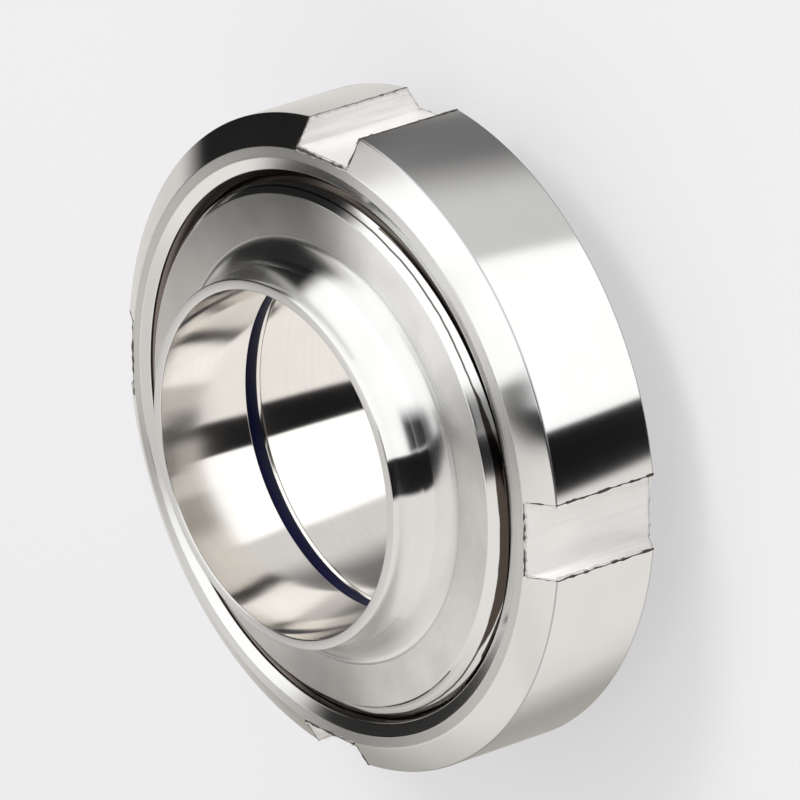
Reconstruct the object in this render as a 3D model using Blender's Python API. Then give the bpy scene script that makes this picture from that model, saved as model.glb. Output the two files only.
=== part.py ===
"""Hygienic screwed pipe union: threaded male end, coned liner, seal ring and slotted nut.

The union stands on the liner's weld end. Its axis is Z, and the male end points up.
All sizes below are millimetres and degrees; the meshes are built in metres.
"""

import math

import bmesh
import bpy

# Units and facets
MM = 0.001
SEGMENTS = 48
FILLET_STEPS = 5
MERGE_DISTANCE = 0.002

# Pipe ends
BORE_DIAMETER = 50.0
TUBE_WALL = 1.5

# Clearances
SEAT_GAP = 0.3
SEAL_GAP = 0.25
THREAD_GAP = 0.3
LIP_RUNNING_GAP = 0.35

# Seal ring and the groove that holds it
SEAL_RECESS = 0.1
SEAL_LIP_WIDTH = 2.2
SEAL_LIP_HEIGHT = 1.55
SEAL_BODY_WIDTH = 4.3
SEAL_BODY_HEIGHT = 4.8
SEAL_ROUND = 1.0

# Liner
LINER_TAIL = 6.5
LINER_STEP = 0.5
SHOULDER_WIDTH = 3.85
COLLAR_HEIGHT = 3.6
CONE_HEIGHT = 4.9
CONE_RUN = 2.9
LINER_BEAD = 0.65
LINER_EDGE = 0.5
COLLAR_EDGE = 0.4
CONE_LAND = 4.0

# Round thread, six turns to the inch
THREAD_PITCH = 25.4 / 6.0
THREAD_DEPTH = 0.5 * THREAD_PITCH
KNUCKLE_RADIUS = 0.23851 * THREAD_PITCH
FLANK_ANGLE = 15.0
THREAD_ROW_PHASES = (0.0, 0.16, 0.25, 0.34, 0.5, 0.66, 0.75, 0.84)
THREAD_START_ANGLE = 207.0
THREAD_RUNOUT = 0.2

# Male part
SEAT_WALL = 2.6
MALE_SKIRT = 4.2
FLANGE_THICKNESS = 4.5
MALE_LEAD = 2.0
BACK_CHAMFER = 2.3
NECK_HEIGHT = 8.2
NECK_FILLET = 3.7
GROOVE_LIP_EDGE = 0.2

# Slotted nut
NUT_LIP = 5.0
NUT_RECESS = 2.0
NUT_STANDOFF = 1.1
NUT_EDGE_RISE = 0.4
NUT_EDGE_LAND = 0.5
LEAD_RING_WIDTH = 1.8
LEAD_RING_DROP = 0.45
FLAT_RING_WIDTH = 1.55
CHAMFER_RADIAL = 4.2
CHAMFER_AXIAL = 2.6
LIP_EDGE = 0.5
SLOT_COUNT = 4
SLOT_WIDTH = 10.8
SLOT_DEPTH = 4.05
SLOT_ANGLE = 0.0
CUTTER_MARGIN = 2.0

# Radii, worked out from the bore outwards
bore_r = BORE_DIAMETER / 2.0
tube_r = bore_r + TUBE_WALL
seal_lip_r = bore_r + SEAL_RECESS
groove_inner_r = bore_r + SEAL_LIP_WIDTH
seal_inner_r = groove_inner_r + SEAL_GAP
seal_outer_r = seal_inner_r + SEAL_BODY_WIDTH
groove_outer_r = seal_outer_r + SEAL_GAP
cone_slope = CONE_RUN / CONE_HEIGHT
seat_offset = SEAT_GAP * math.hypot(1.0, cone_slope)
cone_top_r = groove_inner_r + CONE_LAND + SEAL_GAP
collar_r = cone_top_r + CONE_RUN
liner_neck_r = collar_r - SHOULDER_WIDTH
lip_bore_r = liner_neck_r + LIP_RUNNING_GAP

# Levels, worked out from the liner's weld end upwards
nut_back_z = LINER_TAIL
lip_top_z = nut_back_z + NUT_LIP
shoulder_z = lip_top_z + SEAT_GAP
collar_top_z = shoulder_z + COLLAR_HEIGHT
liner_top_z = collar_top_z + CONE_HEIGHT
bead_top_z = liner_top_z + LINER_BEAD
seal_lip_base_z = bead_top_z + SEAL_GAP
seal_lip_top_z = seal_lip_base_z + SEAL_LIP_HEIGHT
male_lip_z = seal_lip_top_z + SEAL_GAP
seal_base_z = liner_top_z + SEAL_GAP
seal_top_z = seal_base_z + SEAL_BODY_HEIGHT
groove_roof_z = seal_top_z + SEAL_GAP
male_face_z = groove_roof_z + FLANGE_THICKNESS
rim_z = male_face_z + NECK_HEIGHT
male_end_z = shoulder_z + MALE_SKIRT
nut_front_z = male_face_z - NUT_STANDOFF
nut_thread_base_z = lip_top_z + NUT_RECESS
nut_edge_z = nut_front_z - LEAD_RING_DROP
nut_thread_top_z = nut_edge_z - NUT_EDGE_LAND

# Thread radii, from the coned seat in the male part outwards
seat_mouth_r = collar_r + seat_offset - cone_slope * max(male_end_z - collar_top_z, 0.0)
male_root_r = seat_mouth_r + SEAT_WALL
male_crest_r = male_root_r + THREAD_DEPTH
male_face_edge_r = male_crest_r - BACK_CHAMFER
nut_crest_r = male_root_r + THREAD_GAP
nut_root_r = male_crest_r + THREAD_GAP
nut_edge_r = nut_root_r + NUT_EDGE_RISE
flat_inner_r = nut_edge_r + LEAD_RING_WIDTH
flat_outer_r = flat_inner_r + FLAT_RING_WIDTH
nut_outer_r = flat_outer_r + CHAMFER_RADIAL
slot_floor_r = nut_outer_r - SLOT_DEPTH

# The thread's root meets the male face at THREAD_START_ANGLE, and both threads share this helix
helix_base_z = male_face_z - THREAD_RUNOUT - THREAD_PITCH * THREAD_START_ANGLE / 360.0


def clear_scene():
    """Empty the scene of its objects."""
    for old in list(bpy.data.objects):
        bpy.data.objects.remove(old, do_unlink=True)


def arc(centre_r, centre_z, radius, start, end, steps):
    """Points of an arc in the section plane, from start to end degrees."""
    points = []
    for step in range(steps + 1):
        angle = math.radians(start + (end - start) * step / steps)
        points.append((centre_r + radius * math.cos(angle), centre_z + radius * math.sin(angle)))
    return points


def knuckle_height(distance):
    """Height of the round thread above its root, at an axial distance from the root's centre."""
    half_pitch = THREAD_PITCH / 2.0
    x = min(abs(distance), half_pitch)
    blend = KNUCKLE_RADIUS * math.cos(math.radians(FLANK_ANGLE))
    sag = KNUCKLE_RADIUS - KNUCKLE_RADIUS * math.sin(math.radians(FLANK_ANGLE))
    if x <= blend:
        return KNUCKLE_RADIUS - math.sqrt(KNUCKLE_RADIUS ** 2 - x ** 2)
    if x >= half_pitch - blend:
        return THREAD_DEPTH - KNUCKLE_RADIUS + math.sqrt(KNUCKLE_RADIUS ** 2 - (half_pitch - x) ** 2)
    share = (x - blend) / (half_pitch - 2.0 * blend)
    return sag + share * (THREAD_DEPTH - 2.0 * sag)


def root_distance(z, turn):
    """Axial distance from the nearest thread root, for a level and an angle in turns."""
    phase = (z - helix_base_z) / THREAD_PITCH - turn
    return (phase - round(phase)) * THREAD_PITCH


def male_thread_radius(z, turn):
    """Radius of the male thread, cut back by the lead-in and by the chamfer at its back."""
    thread = male_root_r + knuckle_height(root_distance(z, turn))
    lead = male_crest_r - MALE_LEAD + (z - male_end_z)
    chamfer = male_face_edge_r + (male_face_z - z)
    return min(thread, lead, chamfer)


def nut_thread_radius(z, turn):
    """Radius of the nut's thread: the male form with the gap all round, opened at both ends."""
    flank_share = THREAD_GAP * math.tan(math.radians(45.0 - FLANK_ANGLE / 2.0))
    spread = abs(root_distance(z, turn)) + flank_share
    thread = nut_crest_r + knuckle_height(spread)
    base_lead = nut_root_r + THREAD_GAP - (z - nut_thread_base_z)
    top_lead = nut_edge_r - (nut_thread_top_z - z)
    return max(thread, base_lead, top_lead)


def thread_levels(base_z, top_z):
    """Levels of the thread's rows at angle 0: one pitch more than the thread at its foot."""
    levels = []
    first_turn = math.floor((base_z - THREAD_PITCH - helix_base_z) / THREAD_PITCH)
    last_turn = math.ceil((top_z - helix_base_z) / THREAD_PITCH)
    for turn in range(first_turn, last_turn + 1):
        for phase in THREAD_ROW_PHASES:
            levels.append(helix_base_z + (turn + phase) * THREAD_PITCH)
    return [z for z in levels if base_z - THREAD_PITCH - 0.5 * THREAD_PITCH < z < top_z + THREAD_PITCH]


def male_outline():
    """Section of the male part, bore side first; rows of the thread carry a None radius."""
    seat_top_z = collar_top_z + (collar_r + seat_offset - groove_outer_r) / cone_slope
    inner = [
        (bore_r, rim_z),
        (bore_r, male_lip_z + GROOVE_LIP_EDGE),
        (bore_r + GROOVE_LIP_EDGE, male_lip_z),
        (groove_inner_r, male_lip_z),
        (groove_inner_r, groove_roof_z),
        (groove_outer_r, groove_roof_z),
        (groove_outer_r, seat_top_z),
        (seat_mouth_r, male_end_z),
    ]
    rows = [(None, z) for z in thread_levels(male_end_z, male_face_z)]
    fillet_r = tube_r + NECK_FILLET
    fillet = arc(fillet_r, male_face_z + NECK_FILLET, NECK_FILLET, 270.0, 180.0, FILLET_STEPS)
    return inner + rows + fillet + [(tube_r, rim_z)]


def nut_outline():
    """Section of the nut, from its lip up the inside and down the outside."""
    inner = [
        (lip_bore_r + LIP_EDGE, nut_back_z),
        (lip_bore_r, nut_back_z + LIP_EDGE),
        (lip_bore_r, lip_top_z),
        (nut_root_r + THREAD_GAP, lip_top_z),
    ]
    rows = [(None, z) for z in thread_levels(nut_thread_base_z, nut_thread_top_z)]
    outer = [
        (nut_edge_r, nut_edge_z),
        (flat_inner_r, nut_front_z),
        (flat_outer_r, nut_front_z),
        (nut_outer_r, nut_front_z - CHAMFER_AXIAL),
        (nut_outer_r, nut_back_z + CHAMFER_AXIAL),
        (flat_outer_r, nut_back_z),
    ]
    return inner + rows + outer


def liner_outline():
    """Section of the liner: tube end, flare, neck, collar, cone and the bead at its bore."""
    flare = liner_neck_r - tube_r
    flare_top_z = nut_back_z - LINER_STEP
    tail = arc(liner_neck_r, flare_top_z - flare, flare, 180.0, 90.0, FILLET_STEPS)
    head = [
        (liner_neck_r, shoulder_z),
        (collar_r - COLLAR_EDGE, shoulder_z),
        (collar_r, shoulder_z + COLLAR_EDGE),
        (collar_r, collar_top_z),
        (cone_top_r, liner_top_z),
        (groove_inner_r, liner_top_z),
        (groove_inner_r, bead_top_z),
        (bore_r + LINER_EDGE, bead_top_z),
        (bore_r, bead_top_z - LINER_EDGE),
        (bore_r, 0.0),
    ]
    return [(tube_r, 0.0)] + tail + head


def seal_outline():
    """Section of the seal ring: a body with a round back and a lip that reaches the bore."""
    back = arc(seal_outer_r - SEAL_ROUND, seal_top_z - SEAL_ROUND, SEAL_ROUND, 0.0, 90.0, 3)
    front = arc(seal_inner_r + SEAL_ROUND, seal_top_z - SEAL_ROUND, SEAL_ROUND, 90.0, 180.0, 3)
    lip = [
        (seal_inner_r, seal_lip_top_z),
        (seal_lip_r, seal_lip_top_z),
        (seal_lip_r, seal_lip_base_z),
        (seal_inner_r, seal_lip_base_z),
    ]
    return [(seal_inner_r, seal_base_z), (seal_outer_r, seal_base_z)] + back + front + lip


def turn_outline(outline, origin_z, thread=None, thread_base_z=0.0, thread_top_z=0.0):
    """Spin a closed section about Z, and lead the rows of its thread along the helix."""
    mesh_data = bmesh.new()
    row_layer = mesh_data.verts.layers.int.new("row")
    column_verts = []
    for index, (radius, z) in enumerate(outline):
        vert = mesh_data.verts.new(((radius or male_root_r) * MM, 0.0, z * MM))
        vert[row_layer] = index
        column_verts.append(vert)
    edges = []
    for index, vert in enumerate(column_verts):
        edges.append(mesh_data.edges.new((vert, column_verts[(index + 1) % len(column_verts)])))
    turned = bmesh.ops.spin(
        mesh_data,
        geom=column_verts + edges,
        cent=(0.0, 0.0, 0.0),
        axis=(0.0, 0.0, 1.0),
        angle=2.0 * math.pi,
        steps=SEGMENTS,
    )
    last_column = {item for item in turned["geom_last"] if isinstance(item, bmesh.types.BMVert)}
    for vert in mesh_data.verts:
        radius, z = outline[vert[row_layer]]
        column = round(math.atan2(vert.co.y, vert.co.x) / (2.0 * math.pi) * SEGMENTS) % SEGMENTS
        if vert in last_column:
            column = SEGMENTS
        turn = column / SEGMENTS
        if radius is None:
            z = min(max(z + THREAD_PITCH * turn, thread_base_z), thread_top_z)
            radius = thread(z, turn)
        angle = 2.0 * math.pi * (column % SEGMENTS) / SEGMENTS
        vert.co = (radius * math.cos(angle) * MM, radius * math.sin(angle) * MM, (z - origin_z) * MM)
    bmesh.ops.remove_doubles(mesh_data, verts=mesh_data.verts, dist=MERGE_DISTANCE * MM)
    bmesh.ops.recalc_face_normals(mesh_data, faces=mesh_data.faces)
    return mesh_data


def add_object(name, mesh_data, origin_z):
    """Store a bmesh as an object whose origin lies on the union's axis."""
    mesh = bpy.data.meshes.new(name)
    mesh_data.to_mesh(mesh)
    mesh_data.free()
    item = bpy.data.objects.new(name, mesh)
    item.location = (0.0, 0.0, origin_z * MM)
    bpy.context.scene.collection.objects.link(item)
    return item


def shade_turned(item):
    """Smooth shading with the turned edges kept sharp."""
    item.data.shade_smooth()
    item.data.set_sharp_from_angle(angle=math.radians(25.0))


def give_material(item, name, colour, roughness, metallic):
    """Add a plain Principled material."""
    material = bpy.data.materials.new(name)
    material.use_nodes = True
    shader = material.node_tree.nodes["Principled BSDF"]
    shader.inputs["Base Color"].default_value = (*colour, 1.0)
    shader.inputs["Roughness"].default_value = roughness
    shader.inputs["Metallic"].default_value = metallic
    material.diffuse_color = (*colour, 1.0)
    item.data.materials.append(material)


def slot_cutter(index):
    """Box that cuts one spanner slot along the whole width of the nut."""
    cutter_data = bmesh.new()
    bmesh.ops.create_cube(cutter_data, size=1.0)
    depth = SLOT_DEPTH + CUTTER_MARGIN
    height = nut_front_z - nut_back_z + 2.0 * CUTTER_MARGIN
    bmesh.ops.scale(cutter_data, verts=cutter_data.verts, vec=(depth * MM, SLOT_WIDTH * MM, height * MM))
    shift = (slot_floor_r + depth / 2.0, 0.0, (nut_front_z + nut_back_z) / 2.0)
    bmesh.ops.translate(cutter_data, verts=cutter_data.verts, vec=[value * MM for value in shift])
    cutter = add_object("slot_cutter_%d" % (index + 1), cutter_data, 0.0)
    cutter.rotation_euler = (0.0, 0.0, math.radians(SLOT_ANGLE + 360.0 * index / SLOT_COUNT))
    cutter.hide_render = True
    cutter.display_type = "WIRE"
    return cutter


def make_liner():
    """Liner: the plain end that the nut pulls against the male part."""
    liner = add_object("liner", turn_outline(liner_outline(), 0.0), 0.0)
    give_material(liner, "turned_steel_liner", (0.60, 0.59, 0.58), 0.22, 1.0)
    shade_turned(liner)
    return liner


def make_male_part():
    """Male part: weld neck, flange with the round thread, coned seat and seal groove."""
    mesh_data = turn_outline(male_outline(), male_end_z, male_thread_radius, male_end_z, male_face_z)
    male = add_object("male_part", mesh_data, male_end_z)
    give_material(male, "turned_steel_male", (0.62, 0.61, 0.60), 0.2, 1.0)
    shade_turned(male)
    return male


def make_seal_ring(male):
    """Seal ring, held in the groove of the male part."""
    seal = add_object("seal_ring", turn_outline(seal_outline(), seal_base_z), seal_base_z - male_end_z)
    seal.parent = male
    give_material(seal, "navy_rubber", (0.015, 0.015, 0.045), 0.45, 0.0)
    shade_turned(seal)
    return seal


def make_nut():
    """Slotted nut: bevelled ring with an inner lip, the female thread and the spanner slots."""
    mesh_data = turn_outline(nut_outline(), nut_back_z, nut_thread_radius, nut_thread_base_z, nut_thread_top_z)
    nut = add_object("slotted_nut", mesh_data, nut_back_z)
    give_material(nut, "polished_steel_nut", (0.64, 0.63, 0.62), 0.12, 1.0)
    shade_turned(nut)
    for index in range(SLOT_COUNT):
        cut = nut.modifiers.new("slot_%d" % (index + 1), "BOOLEAN")
        cut.operation = "DIFFERENCE"
        cut.solver = "EXACT"
        cut.object = slot_cutter(index)
    return nut


def main():
    """Build the four pieces of the union."""
    clear_scene()
    make_liner()
    male = make_male_part()
    make_seal_ring(male)
    make_nut()


main()
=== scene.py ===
"""Hygienic weld union, dressed for the studio: turned and polished steel, slotted nut and seal."""

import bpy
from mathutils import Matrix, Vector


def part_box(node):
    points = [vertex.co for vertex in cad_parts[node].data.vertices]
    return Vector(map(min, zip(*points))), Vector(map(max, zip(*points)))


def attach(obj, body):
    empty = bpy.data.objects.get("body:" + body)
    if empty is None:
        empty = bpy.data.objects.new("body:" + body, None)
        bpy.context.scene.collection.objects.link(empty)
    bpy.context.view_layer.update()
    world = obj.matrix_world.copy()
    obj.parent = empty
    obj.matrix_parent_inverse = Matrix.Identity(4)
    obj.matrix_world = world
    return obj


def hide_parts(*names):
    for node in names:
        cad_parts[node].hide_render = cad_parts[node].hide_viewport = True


bl_info = {
    "name": "Weld Union Studio",
    "version": (1, 0, 0),
    "blender": (4, 5, 0),
    "location": "View3D > Sidebar > Weld Union",
    "description": "Turned, polished and milled pieces of a screwed pipe union",
    "category": "Add Mesh",
}

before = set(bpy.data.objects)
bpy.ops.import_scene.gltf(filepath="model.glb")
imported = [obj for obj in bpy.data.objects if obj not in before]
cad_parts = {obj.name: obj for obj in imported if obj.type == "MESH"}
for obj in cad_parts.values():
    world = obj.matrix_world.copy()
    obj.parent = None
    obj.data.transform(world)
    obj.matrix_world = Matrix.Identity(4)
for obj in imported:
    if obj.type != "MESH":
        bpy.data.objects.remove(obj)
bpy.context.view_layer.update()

import math

import bmesh
import bpy
from bpy.props import FloatProperty, FloatVectorProperty, IntProperty, PointerProperty
from mathutils import Matrix, Vector, noise

LINER_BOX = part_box("liner")
MALE_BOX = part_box("male_part")
NUT_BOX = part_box("slotted_nut")
SEAL_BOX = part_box("seal_ring")

MM = 0.001
MICRON = 1e-6

# Form of a round thread: a knuckle's radius for a pitch of one, and half the angle of its flanks
KNUCKLE_SHARE = 0.23851
HALF_FLANK = 15.0
# Where the thread's root leaves the male face, and the slope that leads into its foot
ROOT_BELOW_FACE = 0.2 * MM
LEAD_IN = 2.0 * MM
# Facets of a softened mesh meet sharply from this angle on, in degrees
SHARP_ANGLE = 30.0
# Radius at which a row of the thread is spun before it takes its own
THREAD_ROW = 0.037
# Breadth of a smudge on turned steel
SMUDGE = 7.0 * MM
# Length of one crumb of a burr
CRUMB = 0.22 * MM


# Settings


def length_setting(name, description, default):
    """A length, in metres."""
    return FloatProperty(
        name=name, description=description, default=default, unit="LENGTH",
        subtype="DISTANCE", precision=5)


def angle_setting(name, description, degrees):
    """An angle, given here in degrees."""
    return FloatProperty(
        name=name, description=description, default=math.radians(degrees), unit="ROTATION",
        subtype="ANGLE")


def srgb(code):
    """Turn a hex colour code into an sRGB triple."""
    return tuple(int(code.lstrip("#")[index:index + 2], 16) / 255.0 for index in (0, 2, 4))


def colour_setting(name, description, code):
    """A colour, given here as a hex code and kept as sRGB."""
    return FloatVectorProperty(
        name=name, description=description, default=srgb(code), subtype="COLOR_GAMMA", size=3,
        min=0.0, max=1.0)


class UnionThreadSettings(bpy.types.PropertyGroup):
    """Round thread shared by the male part and the nut."""

    pitch: length_setting("Pitch", "Axial distance between two turns", 25.4 / 6.0 * MM)
    depth: length_setting("Depth", "Height of the thread from root to crest", 12.7 / 6.0 * MM)
    male_root: length_setting(
        "Male Root Radius", "Radius at the bottom of the male thread", 36.883 * MM)
    gap: length_setting("Running Gap", "Radial gap between the two threads", 0.3 * MM)
    start_angle: angle_setting(
        "Start Angle", "Where the thread's root runs out of the male face", 207.0)


class UnionNutSettings(bpy.types.PropertyGroup):
    """Slotted nut."""

    outer_radius: length_setting("Outer Radius", "Radius of the polished outside", 47.25 * MM)
    bevel_radial: length_setting("Bevel Radial", "Radial reach of the outer bevels", 4.2 * MM)
    bevel_axial: length_setting("Bevel Axial", "Axial reach of the outer bevels", 2.6 * MM)
    lip_height: length_setting("Lip Height", "Thickness of the inner lip", 5.0 * MM)
    lip_bore: length_setting("Lip Bore Radius", "Radius of the hole in the lip", 30.8 * MM)
    slot_width: length_setting("Slot Width", "Width of a spanner slot", 10.8 * MM)
    slot_depth: length_setting("Slot Depth", "Depth of a spanner slot", 4.05 * MM)
    slot_count: IntProperty(
        name="Slots", description="Number of spanner slots", default=4, min=1, max=8)
    columns: IntProperty(
        name="Columns", description="Facets round the nut", default=384, min=48, max=720)


class UnionPipeSettings(bpy.types.PropertyGroup):
    """Male part and liner."""

    bore: length_setting("Bore Radius", "Radius of the bore", 25.0 * MM)
    wall: length_setting("Tube Wall", "Wall of the weld ends", 1.5 * MM)
    face_level: length_setting(
        "Face Level", "Height of the male part's turned face", 30.1 * MM)
    fillet: length_setting("Neck Fillet", "Fillet between neck and face", 3.7 * MM)
    chamfer: length_setting("Back Chamfer", "Chamfer that ends the male thread", 2.3 * MM)
    columns: IntProperty(
        name="Columns", description="Facets round the turned pieces", default=256, min=48,
        max=720)


class UnionFinishSettings(bpy.types.PropertyGroup):
    """Colours of the finishes."""

    polish: colour_setting(
        "Polished Steel", "Mirror-polished stainless steel, as sRGB", "#dbdbda")
    turned: colour_setting(
        "Turned Steel", "Fine-turned stainless steel, as sRGB", "#d9d8d6")
    rubber: colour_setting("Rubber", "Seal rubber, as sRGB", "#0a0b33")


class UnionStageSettings(bpy.types.PropertyGroup):
    """Camera at the photograph's angle."""

    azimuth: angle_setting("Azimuth", "Camera's way round the union", 27.92)
    elevation: angle_setting("Elevation", "Camera's height above the horizon", 35.6)
    roll: angle_setting("Roll", "Camera's turn about its own axis", -107.85)
    distance: length_setting("Distance", "Camera to aim point", 1.671)
    aim: FloatVectorProperty(
        name="Aim", description="Point that the camera looks at",
        default=(0.0028, 0.0015, 0.01425), subtype="TRANSLATION", unit="LENGTH", size=3)
    lens: FloatProperty(name="Lens", description="Focal length", default=540.0, unit="CAMERA")


SETTINGS = (
    ("union_thread", UnionThreadSettings),
    ("union_nut", UnionNutSettings),
    ("union_pipe", UnionPipeSettings),
    ("union_finish", UnionFinishSettings),
    ("union_stage", UnionStageSettings),
)


# Shapes


def arc(centre, radius, start, end, steps):
    """Points of an arc in the section plane; centre is (r, z) and the angles are degrees."""
    points = []
    for step in range(steps + 1):
        angle = math.radians(start + (end - start) * step / steps)
        points.append((centre[0] + radius * math.cos(angle), centre[1] + radius * math.sin(angle)))
    return points


def curve(start, pull, end, steps):
    """Points of a smooth run from start to end, drawn towards pull."""
    return [tuple(Vector(start).lerp(Vector(pull), step / steps).lerp(
        Vector(pull).lerp(Vector(end), step / steps), step / steps)) for step in range(steps + 1)]


def softened(points, radius, steps=3):
    """Round the corners of an open run of section points with a small edge radius."""
    result = [points[0]]
    for index in range(1, len(points) - 1):
        before, here, after = (Vector(points[index + shift]) for shift in (-1, 0, 1))
        back, ahead = (before - here), (after - here)
        reach = min(radius, 0.4 * back.length, 0.4 * ahead.length)
        start, end = here + back.normalized() * reach, here + ahead.normalized() * reach
        for step in range(steps + 1):
            share = step / steps
            point = start.lerp(here, share).lerp(here.lerp(end, share), share)
            result.append(tuple(point))
    result.append(points[-1])
    return result


def knuckle(distance, pitch, depth):
    """Height of the round thread above its root at an axial distance from the root's middle."""
    radius = KNUCKLE_SHARE * pitch
    x = min(abs(distance), pitch / 2.0)
    blend = radius * math.cos(math.radians(HALF_FLANK))
    sag = radius * (1.0 - math.sin(math.radians(HALF_FLANK)))
    if x <= blend:
        return radius - math.sqrt(radius ** 2 - x ** 2)
    if x >= pitch / 2.0 - blend:
        return depth - radius + math.sqrt(radius ** 2 - (pitch / 2.0 - x) ** 2)
    return sag + (x - blend) / (pitch / 2.0 - 2.0 * blend) * (depth - 2.0 * sag)


class Helix:
    """The helix that both threads follow, and their two radii at any place on it."""

    def __init__(self, thread, face_level):
        self.pitch = thread.pitch
        self.depth = thread.depth
        self.root = thread.male_root
        self.gap = thread.gap
        start = thread.pitch * thread.start_angle / (2.0 * math.pi)
        self.base = face_level - ROOT_BELOW_FACE - start

    def off_root(self, z, turn):
        """Axial distance from the nearest root."""
        phase = (z - self.base) / self.pitch - turn
        return (phase - round(phase)) * self.pitch

    def male(self, z, turn, low, high, chamfer):
        """Male radius, cut back by the lead-in at its foot and by the chamfer at its face."""
        thread = self.root + knuckle(self.off_root(z, turn), self.pitch, self.depth)
        lead = self.root + self.depth - LEAD_IN + (z - low)
        back = self.root + self.depth - chamfer + (high - z)
        return min(thread, lead, back)

    def nut(self, z, turn, low, high, edge):
        """Nut radius: the male form with the running gap, opened at both ends."""
        flank = self.gap * math.tan(math.radians((90.0 - HALF_FLANK) / 2.0))
        thread = self.root + self.gap + knuckle(
            abs(self.off_root(z, turn)) + flank, self.pitch, self.depth)
        foot = self.root + self.depth + 2.0 * self.gap - (z - low)
        return max(thread, foot, edge - (high - z))

    def rows(self, low, high, per_turn=16):
        """Levels of the thread's rows at angle zero, from one pitch below its foot."""
        step = self.pitch / per_turn
        count = int(math.ceil((high - low + self.pitch) / step)) + 1
        return [high - step * (count - index) for index in range(count + 1)]


def turned(outline, columns, thread=None, low=0.0, high=0.0):
    """Spin a closed section about Z; points without a radius are rows of the thread.

    A thread gives its pitch and its radius by height and turn; its rows end at low and high.
    """
    shape = bmesh.new()
    row = shape.verts.layers.int.new("row")
    column_verts = []
    for index, (radius, z) in enumerate(outline):
        vert = shape.verts.new((THREAD_ROW if radius is None else radius, 0.0, z))
        vert[row] = index
        column_verts.append(vert)
    rim = [shape.edges.new((vert, column_verts[(index + 1) % len(outline)]))
           for index, vert in enumerate(column_verts)]
    spun = bmesh.ops.spin(
        shape, geom=column_verts + rim, cent=(0.0, 0.0, 0.0), axis=(0.0, 0.0, 1.0),
        angle=2.0 * math.pi, steps=columns)
    last = {item for item in spun["geom_last"] if isinstance(item, bmesh.types.BMVert)}
    if thread is not None:
        for vert in shape.verts:
            radius, z = outline[vert[row]]
            if radius is not None:
                continue
            around = math.atan2(vert.co.y, vert.co.x) / (2.0 * math.pi)
            column = columns if vert in last else round(around * columns) % columns
            turn = column / columns
            level = min(max(z + thread["pitch"] * turn, low), high)
            angle = 2.0 * math.pi * turn
            radius = thread["radius"](level, turn)
            vert.co = (radius * math.cos(angle), radius * math.sin(angle), level)
    bmesh.ops.remove_doubles(shape, verts=shape.verts, dist=0.0015 * MM)
    bmesh.ops.recalc_face_normals(shape, faces=shape.faces)
    return shape


def smooth_between_edges(mesh):
    """Shade a mesh smooth between its sharp edges."""
    mesh.shade_smooth()
    mesh.set_sharp_from_angle(angle=math.radians(SHARP_ANGLE))


def mesh_object(name, shape):
    """Finish a bmesh as an object at the origin, smooth between its sharp edges."""
    mesh = bpy.data.meshes.new(name)
    shape.to_mesh(mesh)
    shape.free()
    smooth_between_edges(mesh)
    piece = bpy.data.objects.new(name, mesh)
    bpy.context.scene.collection.objects.link(piece)
    return piece


def carve(piece, cutter):
    """Cut the cutter out of a piece, apply the cut and remove the cutter."""
    cut = piece.modifiers.new("cut", "BOOLEAN")
    cut.operation = "DIFFERENCE"
    cut.solver = "EXACT"
    cut.object = cutter
    bpy.context.view_layer.update()
    depsgraph = bpy.context.evaluated_depsgraph_get()
    solved = bpy.data.meshes.new_from_object(piece.evaluated_get(depsgraph))
    piece.modifiers.clear()
    plain, piece.data = piece.data, solved
    bpy.data.meshes.remove(plain)
    bpy.data.objects.remove(cutter, do_unlink=True)


def torn_edge(heap, start, end, side, outward, size, least, seed, material):
    """Lay a ragged bar along an edge: it is cut up, swollen and shaken, then put on the heap.

    least is how thin it gets between its crumbs, as a share of its size.
    """
    bar = bmesh.new()
    along = (end - start).normalized()
    turn = Matrix((side, outward, along)).transposed().to_4x4()
    shape = Matrix.Diagonal((size[0], size[1], (end - start).length, 1.0))
    place = Matrix.Translation((start + end) / 2.0)
    bmesh.ops.create_cube(bar, size=1.0, matrix=place @ turn @ shape)
    runs = [edge for edge in bar.edges
            if abs((edge.verts[1].co - edge.verts[0].co).normalized().dot(along)) > 0.99]
    bmesh.ops.subdivide_edges(
        bar, edges=runs, cuts=int((end - start).length / CRUMB), use_grid_fill=True)
    for vert in bar.verts:
        reach = (vert.co - start).dot(along)
        centre = start + along * reach
        swell = noise.noise(Vector((reach * 1000.0, seed, 0.5)))
        drift = noise.noise(Vector((reach * 900.0, seed, 7.5)))
        vert.co = centre + (vert.co - centre) * min(max(0.55 + 1.2 * swell, least), 1.2)
        vert.co += side * size[0] * 0.3 * drift
    for face in bar.faces:
        face.material_index = material
        face.smooth = False
    made = bpy.data.meshes.new("bar")
    bar.to_mesh(made)
    bar.free()
    heap.from_mesh(made)
    bpy.data.meshes.remove(made)


def paint(piece, materials, choose):
    """Give each face the material that choose names for its radius, height and slant."""
    for material in materials:
        piece.data.materials.append(material)
    for face in piece.data.polygons:
        centre = face.center
        radius = math.hypot(centre.x, centre.y)
        outward = (face.normal.x * centre.x + face.normal.y * centre.y) / max(radius, 1e-9)
        face.material_index = choose(radius / MM, centre.z / MM, outward, face.normal.z)


# Finishes


def linear(colour):
    """Turn an sRGB hex code or triple into linear RGBA."""
    if isinstance(colour, str):
        colour = srgb(colour)
    values = [
        value / 12.92 if value <= 0.04045 else ((value + 0.055) / 1.055) ** 2.4
        for value in colour]
    return (*values, 1.0)


def darker(colour, share):
    """Scale a linear RGBA colour; its alpha stays 1."""
    return tuple(value * share for value in colour[:3]) + (1.0,)


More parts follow.
